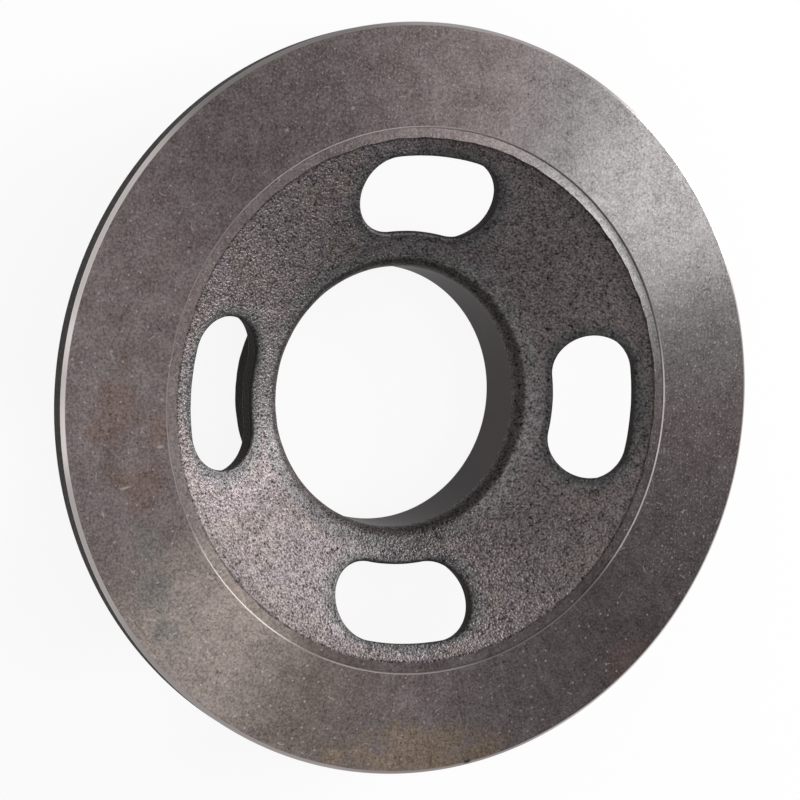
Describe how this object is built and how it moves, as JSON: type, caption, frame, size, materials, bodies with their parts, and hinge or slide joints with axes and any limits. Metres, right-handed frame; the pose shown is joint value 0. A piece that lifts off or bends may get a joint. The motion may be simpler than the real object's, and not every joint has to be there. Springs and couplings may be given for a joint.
{
  "type": "brake disc",
  "caption": "Solid dished brake disc: a flat friction ring on a conical cast web with kidney-shaped slots and a large plain central bore.",
  "frame": {"origin": "centre of the hub's rear face, on the disc's axis", "axes": "+Z along the disc's axis from the hub's rear face towards the outer friction face; +X and +Y through the middles of two slots"},
  "size_m": [0.28, 0.28, 0.0525],
  "materials": {
    "cast_iron": "sand-cast web, turned friction faces, light handling rust"
  },
  "bodies": {
    "root": {"brake_disc": "cast_iron"}
  },
  "joints": []
}
